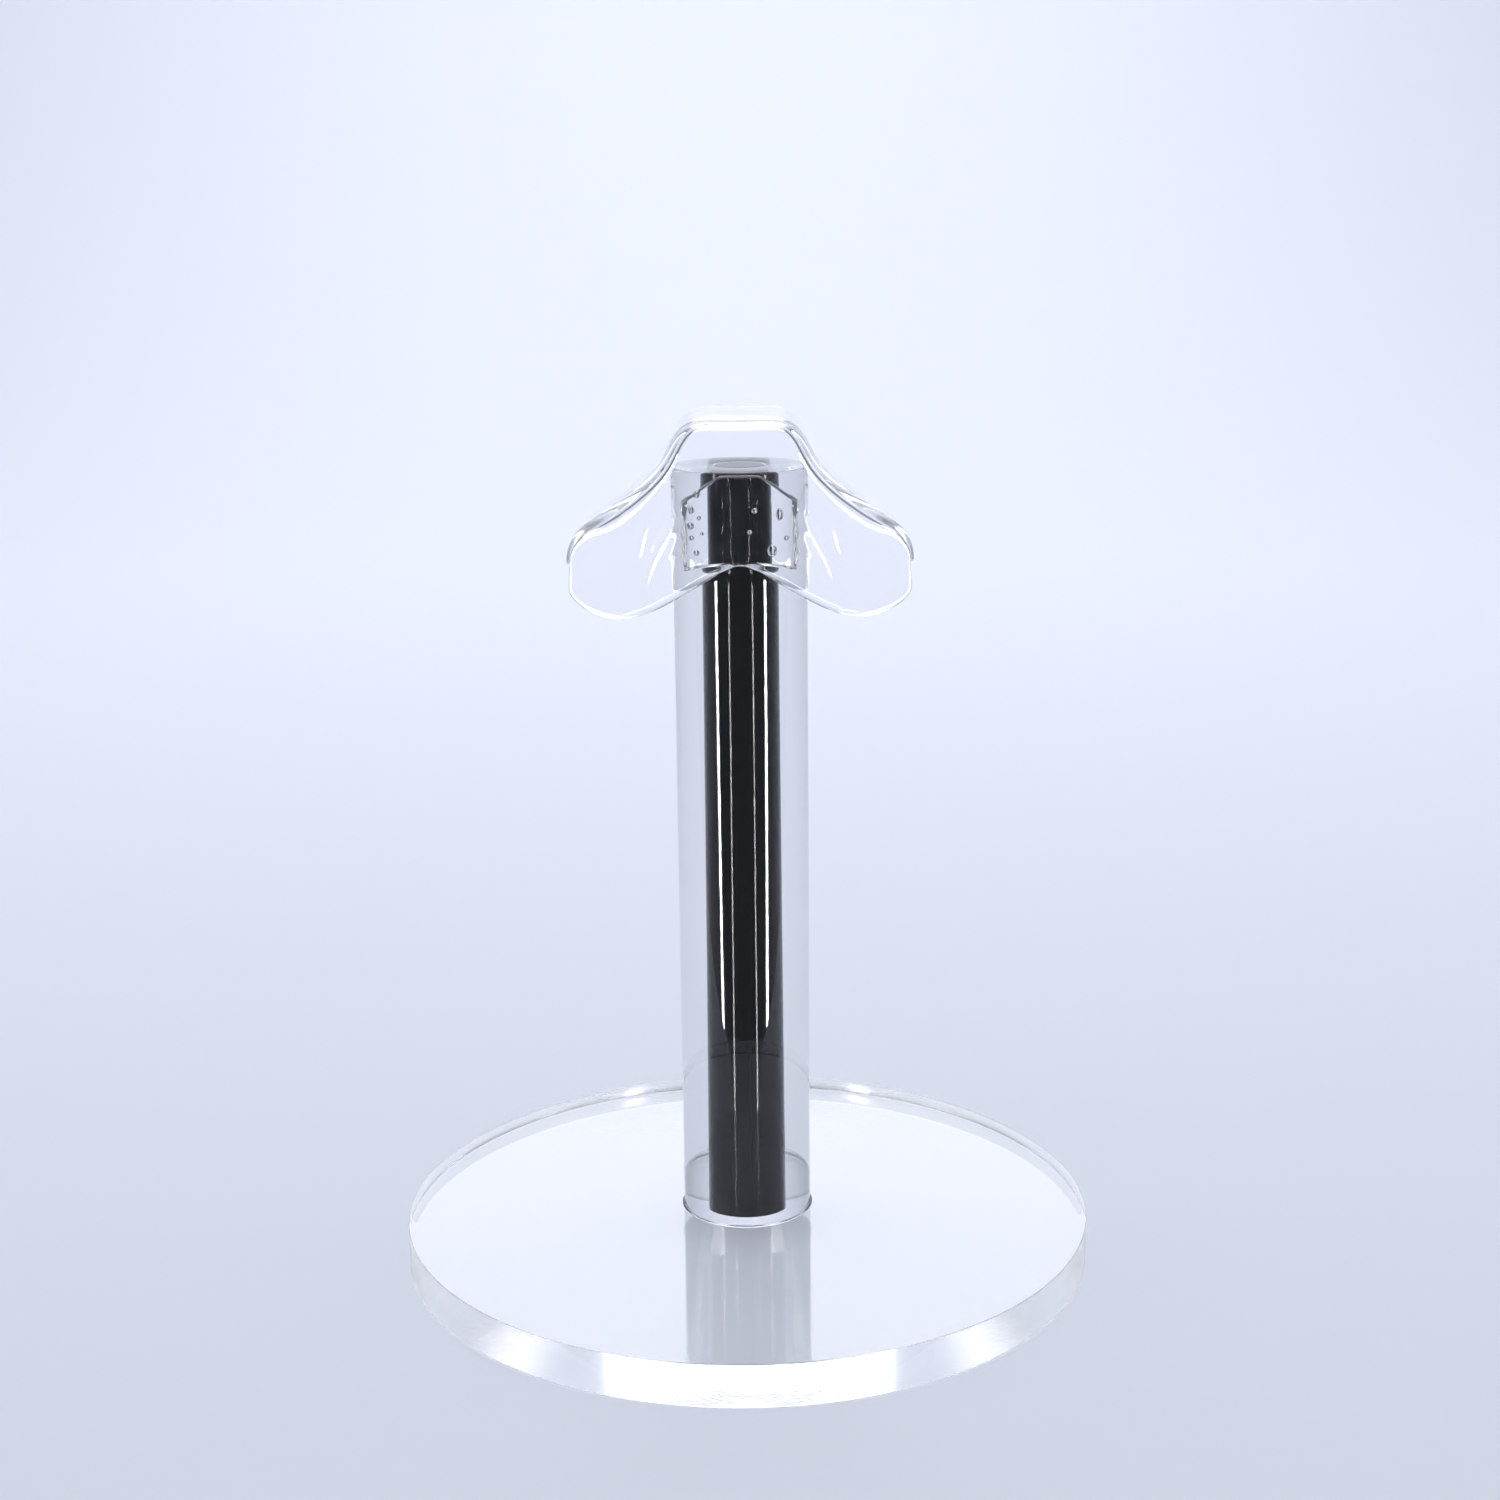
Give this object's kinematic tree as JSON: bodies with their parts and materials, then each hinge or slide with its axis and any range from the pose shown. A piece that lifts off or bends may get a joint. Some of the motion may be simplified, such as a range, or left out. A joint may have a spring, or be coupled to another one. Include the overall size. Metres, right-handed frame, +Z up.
{
  "type": "eyeglasses display stand",
  "caption": "Clear acrylic stand with a round base, a clear post around a glossy black core, and a moulded nose saddle that holds a pair of glasses by the bridge.",
  "frame": {"origin": "centre of the round base's underside, on the surface the stand rests on", "axes": "+Z up along the post, -Y towards the front that faces the viewer, +X to the viewer's right"},
  "size_m": [0.08, 0.08, 0.0988],
  "materials": {
    "clear_acrylic": "clear cast acrylic, polished, very faint cool tint",
    "clear_moulded": "clear injection-moulded plastic with faint flow lines",
    "clear_adhesive": "clear cured adhesive with a few small bubbles",
    "gloss_black": "glossy black"
  },
  "bodies": {
    "root": {"base_disc": "clear_acrylic", "base_glue": "clear_adhesive", "post_tube": "clear_acrylic", "core_rod": "gloss_black", "nose_glue": "clear_adhesive", "nose_piece": "clear_moulded"}
  },
  "joints": []
}
